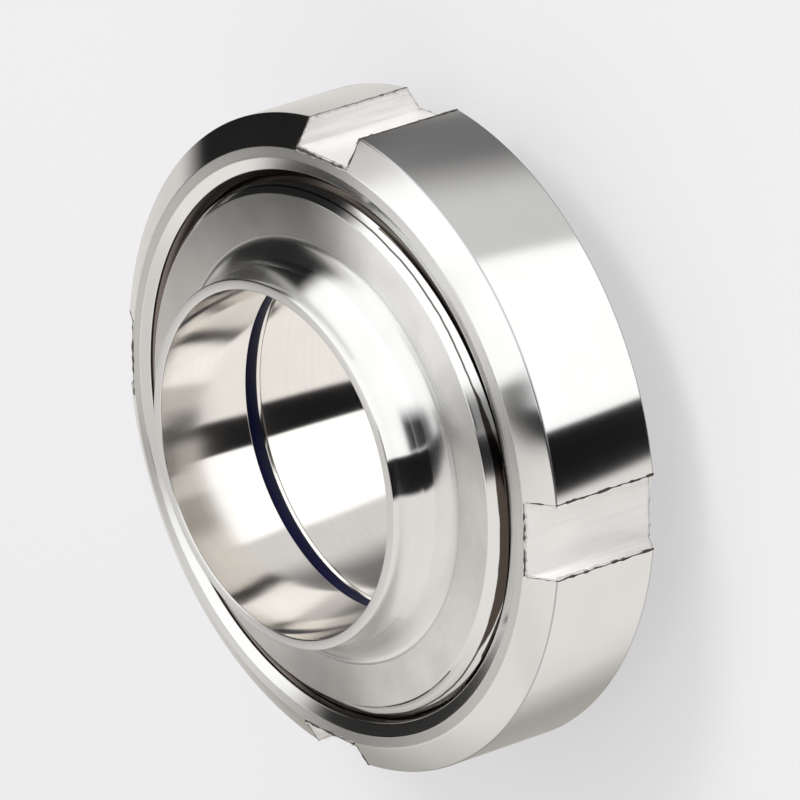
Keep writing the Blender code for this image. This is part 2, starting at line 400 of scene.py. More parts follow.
def add_node(tree, kind, settings=None, links=None):
    """Add a node, fill in its sockets and properties, and link its inputs."""
    node = tree.nodes.new(kind)
    for key, value in (settings or {}).items():
        if isinstance(key, int) or key in node.inputs:
            node.inputs[key].default_value = value
        else:
            setattr(node, key, value)
    for key, source in (links or {}).items():
        tree.links.new(source, node.inputs[key])
    return node


def new_material(name):
    """Start a material with an empty node tree."""
    material = bpy.data.materials.new(name)
    material.use_nodes = True
    material.node_tree.nodes.clear()
    return material, material.node_tree


def marks_round_axis(tree, spacing, detail):
    """Tool marks that run round the axis: noise by radius and height, spacing in metres."""
    place = add_node(tree, "ShaderNodeTexCoord")
    height = add_node(tree, "ShaderNodeSeparateXYZ", links={0: place.outputs["Object"]})
    level = add_node(tree, "ShaderNodeVectorMath", {"operation": "MULTIPLY", 1: (1.0, 1.0, 0.0)}, {
        0: place.outputs["Object"]})
    reach = add_node(tree, "ShaderNodeVectorMath", {"operation": "LENGTH"}, {0: level.outputs[0]})
    section = add_node(tree, "ShaderNodeCombineXYZ", links={
        0: reach.outputs["Value"], 1: height.outputs["Z"]})
    marks = add_node(tree, "ShaderNodeTexNoise", {
        "noise_dimensions": "2D", "Scale": 1.0 / spacing, "Detail": detail, "Roughness": 0.6}, {
        "Vector": section.outputs[0]})
    return marks.outputs["Fac"], reach.outputs["Value"], height.outputs["Z"]


def lathe_steel(
        name, colour, roughness, spread, spacing, depth, detail=2.0, shade=0.06,
        lean=0.0, rise=0.0, cloud=0.0):
    """Steel cut on a lathe: spread is how far its fine rings smear light across themselves.

    spacing, depth and detail shape the rings, and shade is how much darker their furrows are.
    Real feed marks are too fine to show, so the rings are drawn a few times as far apart.
    Feed marks are ramps rather than ridges: lean is their slope outwards and rise their slope
    up the axis, in degrees. cloud is how much the tone wanders from handling and wiping.
    """
    material, tree = new_material(name)
    marks, reach, level = marks_round_axis(tree, spacing, detail)
    grooves = add_node(tree, "ShaderNodeMath", {"operation": "MULTIPLY", 1: depth}, {0: marks})
    leaning = add_node(tree, "ShaderNodeMath", {
        "operation": "MULTIPLY_ADD", 1: -math.tan(math.radians(lean))}, {
        0: reach, 2: grooves.outputs[0]})
    height = add_node(tree, "ShaderNodeMath", {
        "operation": "MULTIPLY_ADD", 1: -math.tan(math.radians(rise))}, {
        0: level, 2: leaning.outputs[0]})
    rings = add_node(tree, "ShaderNodeTangent", {"direction_type": "RADIAL", "axis": "Z"})
    relief = add_node(tree, "ShaderNodeBump", {"Strength": 1.0, "Distance": 1.0}, {
        "Height": height.outputs[0]})
    bright = linear(colour)
    tone = add_node(tree, "ShaderNodeMix", {
        "data_type": "RGBA", 6: darker(bright, 1.0 - shade), 7: bright}, {0: marks})
    place = add_node(tree, "ShaderNodeTexCoord")
    wiped = add_node(tree, "ShaderNodeTexNoise", {"Scale": 1.0 / SMUDGE, "Detail": 4.0}, {
        "Vector": place.outputs["Object"]})
    smudge = add_node(tree, "ShaderNodeMapRange", {1: 0.38, 2: 0.6, 3: cloud, 4: 0.0}, {
        0: wiped.outputs["Fac"]})
    clouded = add_node(tree, "ShaderNodeMix", {"data_type": "RGBA", 7: darker(bright, 0.5)}, {
        0: smudge.outputs[0], 6: tone.outputs[2]})
    shader = add_node(tree, "ShaderNodeBsdfPrincipled", {
        "Metallic": 1.0, "Roughness": roughness, "Anisotropic": spread,
        "Anisotropic Rotation": 0.25}, {
        "Base Color": clouded.outputs[2], "Normal": relief.outputs[0], "Tangent": rings.outputs[0]})
    add_node(tree, "ShaderNodeOutputMaterial", links={"Surface": shader.outputs["BSDF"]})
    return material


def buffed_steel(finish):
    """Stainless steel, turned and then buffed to a mirror: sharp reflections, faint rings."""
    return lathe_steel(
        "buffed_stainless_steel", finish.polish, roughness=0.12, spread=0.95, spacing=0.45 * MM,
        depth=0.05 * MICRON, shade=0.025, cloud=0.03)


def faced_steel(finish):
    """Stainless steel faced by a fine lathe tool: rings smear light into bright and dark fans."""
    return lathe_steel(
        "faced_stainless_steel", finish.turned, roughness=0.39, spread=1.0, spacing=0.22 * MM,
        depth=3.0 * MICRON, cloud=0.05)


def ramp_faced_steel(finish):
    """Face cut with a faster feed: its ramps send one fan of light dark and its twin pale."""
    return lathe_steel(
        "ramp_faced_stainless_steel", finish.turned, roughness=0.27, spread=1.0,
        spacing=0.22 * MM, depth=4.0 * MICRON, lean=7.5, cloud=0.2)


def rim_steel(finish):
    """Sawn and faced rim of a tube end, paler and evener than the broad face."""
    return lathe_steel(
        "faced_tube_rim", finish.polish, roughness=0.24, spread=0.9, spacing=0.2 * MM,
        depth=2.0 * MICRON)


def necked_steel(finish):
    """Turned and polished neck: its faint ramps rise to the rim, which lifts what it mirrors."""
    return lathe_steel(
        "polished_turned_neck", finish.polish, roughness=0.12, spread=0.95, spacing=0.5 * MM,
        depth=0.2 * MICRON, shade=0.03, rise=7.0, cloud=0.06)


def blended_steel(finish):
    """Root of the neck, blended by hand with abrasive cloth: the same fans, softly smeared."""
    return lathe_steel(
        "cloth_blended_fillet", finish.polish, roughness=0.2, spread=0.95, spacing=0.4 * MM,
        depth=1.0 * MICRON, cloud=0.06)


def bored_steel(finish):
    """Bored and honed tube wall: warm, sharp bands along the bore, broken by fine rings."""
    warmth = (1.08, 1.072, 1.062)
    warm = tuple(value * tint for value, tint in zip(finish.turned, warmth))
    return lathe_steel(
        "bored_stainless_steel", warm, roughness=0.11, spread=0.95, spacing=0.35 * MM,
        depth=0.22 * MICRON, detail=4.0, shade=0.07, cloud=0.07)


def threaded_steel(finish):
    """Thread cut with a single point and left oily: brown-grey, partly oil and partly painted shade
    of the gap, and half sharp.
    """
    # Its dark brown-grey is partly oil and partly painted shade
    return lathe_steel(
        "oily_cut_thread_painted_shade", "#807973", roughness=0.24, spread=0.6, spacing=0.3 * MM,
        depth=1.0 * MICRON, shade=0.2)


def chamfer_painted_shade(finish, level):
    """Buffed chamfer with a dark wedge of painted shade along the thread's start, thickest on the
    -Y side.
    """
    thin, thick, border = 0.16 * MM, 1.2 * MM, 0.1 * MM
    thin_side, thick_side = -32.5 * MM, -39.0 * MM
    climb, unsteady = 0.01, 0.25 * MM
    material, tree = new_material("buffed_chamfer_painted_shade")
    place = add_node(tree, "ShaderNodeTexCoord")
    parts = add_node(tree, "ShaderNodeSeparateXYZ", links={0: place.outputs["Object"]})
    wander = add_node(tree, "ShaderNodeTexNoise", {"Scale": 1.0 / (4.0 * MM), "Detail": 2.0}, {
        "Vector": place.outputs["Object"]})
    tilt = add_node(tree, "ShaderNodeMath", {"operation": "MULTIPLY_ADD", 1: -climb}, {
        0: parts.outputs["X"], 2: parts.outputs["Z"]})
    shaken = add_node(tree, "ShaderNodeMath", {"operation": "MULTIPLY_ADD", 1: unsteady}, {
        0: wander.outputs["Fac"], 2: tilt.outputs["Value"]})
    depth = add_node(tree, "ShaderNodeMath", {"operation": "SUBTRACT", 0: level}, {
        1: shaken.outputs["Value"]})
    wedge = add_node(tree, "ShaderNodeMapRange", {
        1: thin_side, 2: thick_side, 3: thin, 4: thick}, {0: parts.outputs["Y"]})
    inside = add_node(tree, "ShaderNodeMapRange", {1: 0.0, 2: 0.08 * MM}, {
        0: depth.outputs["Value"]})
    past = add_node(tree, "ShaderNodeMath", {"operation": "SUBTRACT"}, {
        0: depth.outputs["Value"], 1: wedge.outputs[0]})
    clear = add_node(tree, "ShaderNodeMapRange", {1: 0.0, 2: border, 3: 1.0, 4: 0.0}, {
        0: past.outputs["Value"]})
    painted_shade = add_node(tree, "ShaderNodeMath", {"operation": "MULTIPLY"}, {
        0: inside.outputs[0], 1: clear.outputs[0]})
    # Painted shade: the wedge darkens the polish where the gap's shadow falls at the thread's start
    tone = add_node(tree, "ShaderNodeMix", {
        "data_type": "RGBA", 6: linear(finish.polish), 7: linear("#4a433d")}, {
        0: painted_shade.outputs["Value"]})
    shader = add_node(tree, "ShaderNodeBsdfPrincipled", {"Metallic": 1.0, "Roughness": 0.12}, {
        "Base Color": tone.outputs[2]})
    add_node(tree, "ShaderNodeOutputMaterial", links={"Surface": shader.outputs["BSDF"]})
    return material


def broken_edge_painted_shade(finish):
    """Arris broken with a file and never buffed: dull, with its grey painted darker as shade, a
    dark line between two mirrors.
    """
    material, tree = new_material("filed_arris_painted_shade")
    # The darker grey is painted shade; the roughness is the filed finish
    shader = add_node(tree, "ShaderNodeBsdfPrincipled", {
        "Base Color": linear("#b4b4b4"), "Metallic": 1.0, "Roughness": 0.24})
    add_node(tree, "ShaderNodeOutputMaterial", links={"Surface": shader.outputs["BSDF"]})
    return material


def milled_steel(finish, name="end_milled_stainless_steel", metal=0.45, grain=0.526 * MM,
                 streaked=0.46, dark=0.78):
    """Slot left by an end mill: pale and scattering, with streaks along the cut and smears.

    metal is how much of it still mirrors, grain how wide its streaks are, streaked how much of
    it they cover and dark how dark they get. A mill's real marks are too fine to show, so the
    streaks are drawn wider.
    """
    grain_length = 18.2 * MM
    smear_width, smear_length = 2.38 * MM, 6.25 * MM
    material, tree = new_material(name)
    place = add_node(tree, "ShaderNodeTexCoord")
    long = add_node(tree, "ShaderNodeMapping", {
        "Scale": (1.0 / grain, 1.0 / grain, 1.0 / grain_length)}, {0: place.outputs["Object"]})
    streaks = add_node(tree, "ShaderNodeTexNoise", {"Scale": 1.0, "Detail": 3.0}, {
        "Vector": long.outputs[0]})
    wide = add_node(tree, "ShaderNodeMapping", {
        "Scale": (1.0 / smear_width, 1.0 / smear_width, 1.0 / smear_length)}, {
        0: place.outputs["Object"]})
    smears = add_node(tree, "ShaderNodeTexNoise", {"Scale": 1.0, "Detail": 4.0}, {
        "Vector": wide.outputs[0]})
    relief = add_node(tree, "ShaderNodeBump", {"Strength": 1.0, "Distance": 26.0 * MICRON}, {
        "Height": streaks.outputs["Fac"]})
    dull = add_node(tree, "ShaderNodeMapRange", {1: 0.35, 2: 0.65, 3: 0.36, 4: 0.55}, {
        0: smears.outputs["Fac"]})
    pale = linear("#fcfaf8")
    shadow = add_node(tree, "ShaderNodeMapRange", {1: 0.28, 2: streaked, 3: dark, 4: 1.0}, {
        0: streaks.outputs["Fac"]})
    tone = add_node(tree, "ShaderNodeMix", {
        "data_type": "RGBA", 6: darker(pale, 0.7), 7: pale}, {0: shadow.outputs[0]})
    shader = add_node(tree, "ShaderNodeBsdfPrincipled", {"Metallic": metal}, {
        "Base Color": tone.outputs[2], "Roughness": dull.outputs[0], "Normal": relief.outputs[0]})
    add_node(tree, "ShaderNodeOutputMaterial", links={"Surface": shader.outputs["BSDF"]})
    return material


def scraped_steel(finish):
    """Slot wall scraped by the side of the mill: whiter than the floor, with broader streaks."""
    return milled_steel(
        finish, "side_milled_stainless_steel", metal=0.1, grain=0.769 * MM, streaked=0.62,
        dark=0.45)


def burred_steel(finish):
    """Sheared burr along a milled edge: bright torn metal whose crumbs glitter or go dark."""
    glint = 0.238 * MM
    material, tree = new_material("sheared_steel_burr")
    place = add_node(tree, "ShaderNodeTexCoord")
    crumbs = add_node(tree, "ShaderNodeTexNoise", {"Scale": 1.0 / glint, "Detail": 2.0}, {
        "Vector": place.outputs["Object"]})
    relief = add_node(tree, "ShaderNodeBump", {"Strength": 1.0, "Distance": 60.0 * MICRON}, {
        "Height": crumbs.outputs["Fac"]})
    shader = add_node(tree, "ShaderNodeBsdfPrincipled", {
        "Base Color": linear(finish.polish), "Metallic": 1.0, "Roughness": 0.22}, {
        "Normal": relief.outputs[0]})
    add_node(tree, "ShaderNodeOutputMaterial", links={"Surface": shader.outputs["BSDF"]})
    return material


def compound_and_painted_shade(finish):
    """Thin broken line of matt black-brown beside the burrs: partly caught buffing compound, partly
    painted shade of the gap under each burr.
    """
    material, tree = new_material("buffing_compound_and_painted_shade")
    place = add_node(tree, "ShaderNodeTexCoord")
    crumbs = add_node(tree, "ShaderNodeTexNoise", {"Scale": 1.0 / (0.5 * MM), "Detail": 2.0}, {
        "Vector": place.outputs["Object"]})
    # Black-brown tones: partly compound, partly painted shade
    tone = add_node(tree, "ShaderNodeMix", {
        "data_type": "RGBA", 6: linear("#15120f"), 7: linear("#57514b")}, {
        0: crumbs.outputs["Fac"]})
    shader = add_node(tree, "ShaderNodeBsdfPrincipled", {"Roughness": 0.6}, {
        "Base Color": tone.outputs[2]})
    add_node(tree, "ShaderNodeOutputMaterial", links={"Surface": shader.outputs["BSDF"]})
    return material


def seal_rubber(finish):
    """Moulded nitrile rubber: near black with a navy cast and a soft sheen."""
    material, tree = new_material("moulded_navy_rubber")
    shader = add_node(tree, "ShaderNodeBsdfPrincipled", {
        "Base Color": linear(finish.rubber), "Roughness": 0.35, "Specular IOR Level": 0.12})
    add_node(tree, "ShaderNodeOutputMaterial", links={"Surface": shader.outputs["BSDF"]})
    return material


# Pieces


class UNION_OT_make_nut(bpy.types.Operator):
    """Slotted nut: polished outside and bevels, flat ring, lead-in cone, thread and lip"""

    bl_idname = "weld_union.make_nut"
    bl_label = "Make Slotted Nut"

    # Its materials, in the order of their slots
    FINISHES = (buffed_steel, faced_steel, milled_steel, burred_steel, compound_and_painted_shade,
                threaded_steel, broken_edge_painted_shade, scraped_steel)
    BUFFED, FACED, MILLED, BURRED, COMPOUND, THREADED, ARRIS, SCRAPED = range(8)

    def execute(self, context):
        scene = context.scene
        nut, pipe, finish = scene.union_nut, scene.union_pipe, scene.union_finish
        helix = Helix(scene.union_thread, pipe.face_level)
        back, front = NUT_BOX[0].z, NUT_BOX[1].z
        crest = helix.root + helix.depth + helix.gap
        undercut, lip_chamfer, bead = 2.0 * MM, 0.5 * MM, 0.03 * MM
        flat_inner, flat_outer = 41.5 * MM, nut.outer_radius - nut.bevel_radial
        edge_radius, edge_level = crest + 0.4 * MM, front - 0.45 * MM
        lip_top = back + nut.lip_height
        thread_low, thread_high = lip_top + undercut, edge_level - 0.5 * MM
        inner = softened([
            (flat_outer, back),
            (nut.lip_bore + lip_chamfer, back),
            (nut.lip_bore, back + lip_chamfer),
            (nut.lip_bore, lip_top),
            (crest + helix.gap, lip_top),
            (crest + helix.gap, thread_low - 0.3 * MM),
        ], radius=0.15 * MM)[1:]
        rows = [(None, z) for z in helix.rows(thread_low, thread_high)]
        outer = softened([
            (edge_radius - 0.1 * MM, edge_level - 0.3 * MM),
            (edge_radius, edge_level),
            (flat_inner - 0.08 * MM, front - 0.07 * MM),
            (flat_inner, front),
            (flat_inner + 0.12 * MM, front - bead),
            (flat_outer, front - bead),
            (nut.outer_radius, front - nut.bevel_axial),
            (nut.outer_radius, back + nut.bevel_axial),
            (flat_outer, back),
            (nut.lip_bore + lip_chamfer, back),
        ], radius=0.22 * MM, steps=4)[1:-1]
        shape = turned(inner + rows + outer, nut.columns, {
            "pitch": helix.pitch,
            "radius": lambda z, turn: helix.nut(z, turn, thread_low, thread_high, edge_radius),
        }, thread_low, thread_high)
        piece = mesh_object("nut_polished", shape)
        floor, beyond = nut.outer_radius - nut.slot_depth, 2.0 * MM
        blocks = bmesh.new()
        size = Vector((nut.slot_depth + beyond, nut.slot_width, front - back + 2.0 * beyond))
        place = Matrix.Translation((floor + size.x / 2.0, 0.0, (front + back) / 2.0))
        stretch = Matrix.Diagonal((*size, 1.0))
        for index in range(nut.slot_count):
            turn = Matrix.Rotation(2.0 * math.pi * index / nut.slot_count, 4, "Z")
            bmesh.ops.create_cube(blocks, size=1.0, matrix=turn @ place @ stretch)
        carve(piece, mesh_object("slot_cutter", blocks))
        smooth_between_edges(piece.data)
        slot_floor = floor / MM - 0.03

        def choose(radius, z, outward, upward):
            # Only the slots' walls face mainly sideways
            if abs(outward) + abs(upward) < 0.93:
                return self.SCRAPED
            if slot_floor < radius < slot_floor + 1.0 and abs(upward) < 0.05 and outward > 0.5:
                return self.MILLED
            # Roundings of the outer edges: the arris, its grey painted darker as shade
            if radius > nut.outer_radius / MM - 0.13 and outward < 0.995:
                return self.ARRIS
            on_cone = crest / MM < radius < flat_inner / MM and z > edge_level / MM - 0.2
            if radius > flat_outer / MM or on_cone:
                return self.BUFFED
            in_thread = helix.root / MM < radius < edge_radius / MM + 0.01 and upward < 0.9
            return self.THREADED if in_thread and thread_low / MM - 1.0 < z else self.FACED

        paint(piece, [make(finish) for make in self.FINISHES], choose)
        self.add_burrs(piece, nut, floor, back, front)
        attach(piece, "nut")
        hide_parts("slotted_nut")
        return {"FINISHED"}

    def add_burrs(self, piece, nut, floor, back, front):
        """Ragged burrs round each slot's mouth, where the mill broke through the polish, with dark
        lines beside them that are partly compound and partly painted shade.
        """
        half = nut.slot_width / 2.0
        rim = math.sqrt(nut.outer_radius ** 2 - half ** 2)
        bright, dark = self.BURRED, self.COMPOUND
        heap = bmesh.new()
        heap.from_mesh(piece.data)
        for index in range(nut.slot_count):
            turn = Matrix.Rotation(2.0 * math.pi * index / nut.slot_count, 3, "Z")
            radial = turn @ Vector((1.0, 0.0, 0.0))
            for flank in (-1.0, 1.0):
                inwards = turn @ Vector((0.0, -flank, 0.0))
                seed = 10.0 * index + flank
                low_rim, high_rim = (turn @ Vector((rim, flank * half, level)) for level in (
                    back + nut.bevel_axial, front - nut.bevel_axial))
                sunk = inwards * 0.08 * MM - radial * 0.16 * MM
                torn_edge(heap, low_rim + sunk, high_rim + sunk,
                          inwards, radial, (0.3 * MM, 0.28 * MM), 0.3, seed, bright)
                # Dark bar beside the burr: partly compound, partly painted shade
                beside = -inwards * 0.16 * MM - radial * 0.005 * MM
                torn_edge(heap, low_rim + beside, high_rim + beside,
                          inwards, radial, (0.36 * MM, 0.04 * MM), 0.4, seed + 4.0, dark)
                for rim_end, level in (
                        (low_rim, back + 0.3 * MM), (high_rim, front - 0.3 * MM)):
                    toe = turn @ Vector((floor, flank * half, level))
                    slope = (rim_end - toe).normalized().cross(inwards)
                    if slope.dot(radial) < 0.0:
                        slope = -slope
                    sunk = inwards * 0.06 * MM - slope * 0.12 * MM
                    torn_edge(heap, toe + sunk, rim_end + sunk, inwards, slope,
                              (0.26 * MM, 0.22 * MM), 0.3, seed + level / MM, bright)
                    # Dark bar beside the burr: partly compound, partly painted shade
                    beside = -inwards * 0.13 * MM
                    torn_edge(heap, toe + beside, rim_end + beside, inwards, slope,
                              (0.24 * MM, 0.05 * MM), 0.2, seed + level / MM + 5.0, dark)
            for level, way in ((back, -1.0), (front, 1.0)):
                axial = Vector((0.0, 0.0, way))
                # Bars along the floor's two ends, in millimetres; the dark bar is partly compound
                # and partly painted shade
                for inset, depth, width, thick, least, material in (
                        (0.1, 0.24, 0.24, 0.26, 0.35, bright),
                        (-0.16, 0.06, 0.42, 0.08, 0.15, dark),
                        (-0.42, 0.06, 0.2, 0.08, 0.1, bright)):
                    lift = Vector((0.0, 0.0, level - way * depth * MM))
                    first, last = (
                        turn @ Vector((floor + inset * MM, flank * half, 0.0)) + lift
                        for flank in (-1.0, 1.0))
                    torn_edge(heap, first, last, radial, axial, (width * MM, thick * MM),
                              least, 10.0 * index + 6.0 * way + inset, material)
        heap.to_mesh(piece.data)
        heap.free()


class UNION_OT_make_male(bpy.types.Operator):
    """Male part: rim, neck, long fillet, turned face, chamfer, thread, seat and groove"""

    bl_idname = "weld_union.make_male"
    bl_label = "Make Male Part"

    # Its materials, in the order of their slots; the chamfer with painted shade comes last
    FINISHES = (ramp_faced_steel, necked_steel, bored_steel, buffed_steel, faced_steel,
                blended_steel, rim_steel, threaded_steel)
    RAMP_FACED, NECKED, BORED, BUFFED, FACED, BLENDED, RIM, THREADED, CHAMFER = range(9)

    def execute(self, context):
        scene = context.scene
        pipe, finish = scene.union_pipe, scene.union_finish
        helix = Helix(scene.union_thread, pipe.face_level)
        low, rim, face = MALE_BOX[0].z, MALE_BOX[1].z, pipe.face_level
        neck = pipe.bore + pipe.wall
        lip, roof = 23.0 * MM, 25.6 * MM
        groove_in, groove_out = 27.2 * MM, 32.0 * MM
        seat_top, mouth = 20.65 * MM, 34.283 * MM
        inner = softened([
            (neck, rim - 2.0 * MM),
            (neck, rim),
            (pipe.bore, rim),
            (pipe.bore, lip),
            (groove_in, lip),
            (groove_in, roof),
            (groove_out, roof),
            (groove_out, seat_top),
            (mouth, low),
            (mouth + 0.5 * MM, low),
        ], radius=0.2 * MM, steps=4)[1:-1]
        brow = face - 0.16 * MM
        rows = [(None, z) for z in helix.rows(low, brow)]
        edge = helix.root + helix.depth - pipe.chamfer
        brow_run = [
            (edge + 0.16 * MM, brow), (edge + 0.08 * MM, face - 0.07 * MM),
            (edge, face - 0.02 * MM), (edge - 0.1 * MM, face)]
        toe = neck + pipe.fillet - 0.1 * MM
        skirt = curve((toe + 0.9 * MM, face), (toe + 0.15 * MM, face + 0.01 * MM),
                      (toe - 0.35 * MM, face + 0.26 * MM), 8)
        root = curve((toe - 0.4 * MM, face + 0.286 * MM), (neck, face + 2.2 * MM),
                     (neck, face + 7.0 * MM), 26)
        shape = turned(inner + rows + brow_run + skirt + root, pipe.columns, {
            "pitch": helix.pitch,
            "radius": lambda z, turn: helix.male(z, turn, low, face, pipe.chamfer),
        }, low, brow)
        piece = mesh_object("male_turned", shape)

        def choose(radius, z, outward, upward):
            if radius < pipe.bore / MM + 0.3 and z > lip / MM and abs(upward) < 0.2:
                return self.BORED
            if z > rim / MM - 0.3 and upward > 0.5:
                return self.RIM
            if z > face / MM + 0.01:
                if upward > 0.99:
                    return self.FACED
                if radius > neck / MM + 1.3:
                    return self.BLENDED
                return self.NECKED if z > face / MM + 3.2 else self.BUFFED
            if z > face / MM - 0.01:
                return self.RAMP_FACED
            if edge / MM < radius and z > low / MM + 1.0:
                on_chamfer = upward > 0.5 and z > face / MM - 2.4
                return self.CHAMFER if on_chamfer else self.THREADED
            return self.FACED

        materials = [make(finish) for make in self.FINISHES]
        # The last material is the chamfer with its wedge of painted shade
        paint(piece, materials + [chamfer_painted_shade(finish, face - 1.0 * MM)], choose)
        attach(piece, "male")
        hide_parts("male_part")
        return {"FINISHED"}


class UNION_OT_make_liner(bpy.types.Operator):
    """Liner: tube end, flare, neck, collar, cone and the bead that meets the seal"""

    bl_idname = "weld_union.make_liner"
    bl_label = "Make Liner"

    def execute(self, context):
        scene = context.scene
        pipe, finish = scene.union_pipe, scene.union_finish
        tube = pipe.bore + pipe.wall
        neck, shoulder = 30.45 * MM, 11.8 * MM
        collar, collar_top = 34.3 * MM, 15.4 * MM
        cone, top, bead = 31.4 * MM, 20.3 * MM, LINER_BOX[1].z
        flare = neck - tube
        flare_points = arc((neck, 6.0 * MM - flare), flare, 180.0, 90.0, 14)
        head = softened([
            flare_points[-1],
            (neck, shoulder),
            (collar, shoulder),
            (collar, collar_top),
            (cone, top),
            (pipe.bore + 2.2 * MM, top),
            (pipe.bore + 2.2 * MM, bead),
            (pipe.bore + 0.45 * MM, bead),
            (pipe.bore, bead - 0.45 * MM),
            (pipe.bore, 0.0),
            (tube, 0.0),
            (tube, 2.0 * MM),
        ], radius=0.14 * MM)[1:-1]
        shape = turned(flare_points + head, pipe.columns)
        piece = mesh_object("liner_turned", shape)

        faced, bored = range(2)

        def choose(radius, z, outward, upward):
            return bored if radius < pipe.bore / MM + 0.5 else faced

        paint(piece, (faced_steel(finish), bored_steel(finish)), choose)
        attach(piece, "liner")
        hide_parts("liner")
        return {"FINISHED"}


class UNION_OT_make_seal(bpy.types.Operator):
    """Seal ring: round-backed rubber body whose lip comes to the bore"""

    bl_idname = "weld_union.make_seal"
    bl_label = "Make Seal Ring"

    def execute(self, context):
        scene = context.scene
        pipe, finish = scene.union_pipe, scene.union_finish
        inner, outer = SEAL_BOX[1].x - 4.3 * MM, SEAL_BOX[1].x
        base, top = SEAL_BOX[0].z, SEAL_BOX[1].z
        lip_low, lip_high = 21.02 * MM, 22.95 * MM
        section = softened([
            (inner, lip_low),
            (inner, base),
            (outer, base),
            (outer, top - 0.6 * MM),
            (outer - 0.9 * MM, top),
            (inner + 0.9 * MM, top),
            (inner, top - 0.6 * MM),
            (inner, lip_high),
            (pipe.bore + 0.12 * MM, lip_high),
            (pipe.bore + 0.06 * MM, (lip_low + lip_high) / 2.0),
            (pipe.bore + 0.12 * MM, lip_low),
            (inner, lip_low),
        ], radius=0.25 * MM, steps=4)[:-1]
        piece = mesh_object("seal_rubber_ring", turned(section, pipe.columns))
        piece.data.materials.append(seal_rubber(finish))
        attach(piece, "male")
        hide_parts("seal_ring")
        return {"FINISHED"}


# Stage


BACKDROP = "#eeeef0"
# Paper that takes the shadow, and the even glow that the camera sees in a share of it
FLOOR_SHADE = "#bcbcbe"
FLOOR_GLOW = "#fdfdff"
FLOOR_GLOW_LEVEL = 1.376
FLOOR_GLOW_SHARE = 0.338
FLOOR_HALF = 4.0
FLOOR_DROP = 0.02 * MM
STUDIO_LEVEL = 1.46
STUDIO_AIR = "#c8c5c2"
SENSOR_WIDTH = 36.0
CLIP_NEAR, CLIP_FAR = 0.05, 50.0
LAMP_PLACE = (0.75, 0.05, 0.8)
LAMP_SIZE = 0.35
LAMP_POWER = 5.0

# Each card: its part, azimuths and elevations in degrees, the blur of its left, right, lower
# and upper edge, and its tone as polished steel shows it.
STUDIO_CARDS = (
    ("bright wall on the left", (-175.0, -100.0), (-60.0, 75.0), (20.0, 4.0, 5.0, 10.0), "#dcd9d6"),
    ("bright wall's turn", (152.0, 181.0), (24.0, 68.0), (12.0, 1.0, 8.0, 8.0), "#dad7d4"),
    ("grey wall behind", (124.0, 172.0), (-60.0, 10.0), (7.0, 14.0, 5.0, 14.0), "#98958f"),
    ("white softbox", (-79.0, 34.0), (-60.0, 88.0), (0.6, 9.0, 5.0, 3.0), "#ffffff"),
    ("white ceiling", (20.0, 118.0), (49.0, 70.0), (9.0, 6.0, 4.0, 4.0), "#ffffff"),
    ("low grey step", (-18.5, 62.0), (-60.0, -21.0), (2.6, 12.0, 5.0, 2.0), "#c4c3c2"),
    ("low grey floor", (16.0, 56.0), (-60.0, -26.0), (13.0, 9.0, 5.0, 2.0), "#6a6969"),
    ("dark shade", (36.0, 94.5), (-30.0, 37.5), (7.0, 3.5, 4.0, 2.5), "#1c1c1c"),
    ("dark shade's far end", (78.0, 109.0), (13.0, 47.0), (4.0, 3.0, 5.0, 3.0), "#1e1e1e"),
    ("dim flank", (-79.0, -58.0), (7.0, 58.0), (3.0, 7.0, 3.0, 8.0), "#363636"),
    ("pale wall behind", (124.0, 154.0), (27.0, 46.0), (5.0, 8.0, 3.0, 6.0), "#e0ddda"),
    ("small dark panel", (125.5, 137.0), (13.5, 25.0), (2.0, 3.0, 1.5, 3.0), "#262626"),
    ("dim patch overhead", (-115.0, -55.0), (74.0, 86.0), (12.0, 10.0, 4.0, 3.0), "#4c4c4c"),
    ("dark strip overhead", (100.0, 153.0), (70.0, 79.0), (7.0, 8.0, 3.0, 3.0), "#1c1c1c"),
    ("black card", (-101.0, -79.3), (-60.0, 82.0), (1.6, 0.5, 5.0, 3.0), "#141416"),
)


